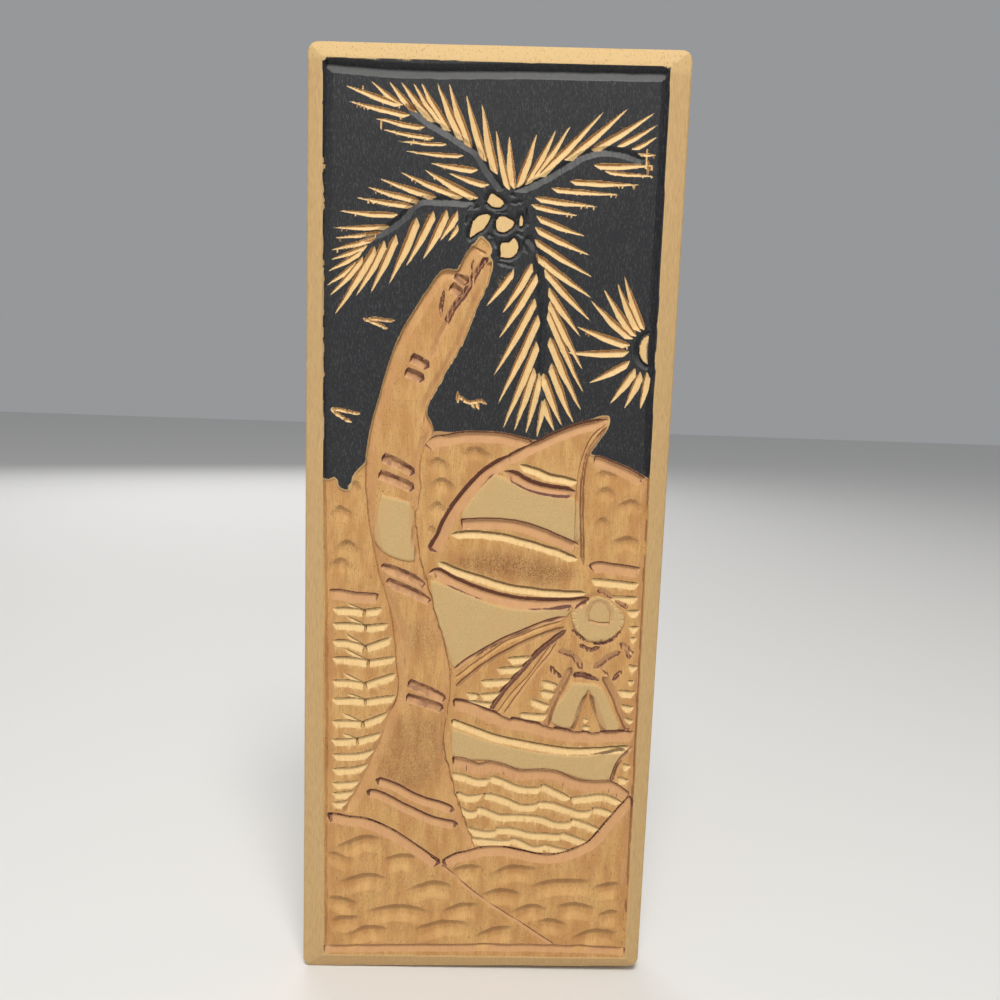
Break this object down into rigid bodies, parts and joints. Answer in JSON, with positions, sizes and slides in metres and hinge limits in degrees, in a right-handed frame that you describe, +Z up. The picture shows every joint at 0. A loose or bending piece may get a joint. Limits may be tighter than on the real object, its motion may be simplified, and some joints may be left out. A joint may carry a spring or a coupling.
{
  "type": "carved wood wall plaque",
  "caption": "Upright carved and painted wood wall plaque with chamfered edges, showing a palm tree, a sail boat, a low sun, a figure and dunes.",
  "frame": {"origin": "middle of the back face, which lies against the wall", "axes": "+Y out of the back face into the wall, so the carved face looks towards -Y; +Z up as the plaque hangs; +X to the right seen from the front"},
  "size_m": [0.114, 0.012, 0.2984],
  "materials": {
    "carved_wood": "pale open-grained wood, matt black paint over the sky and an orange-tan stain over the land and water, with bare wood in the cuts and on the edge strips"
  },
  "bodies": {
    "root": {"carved_board": "carved_wood"}
  },
  "joints": []
}
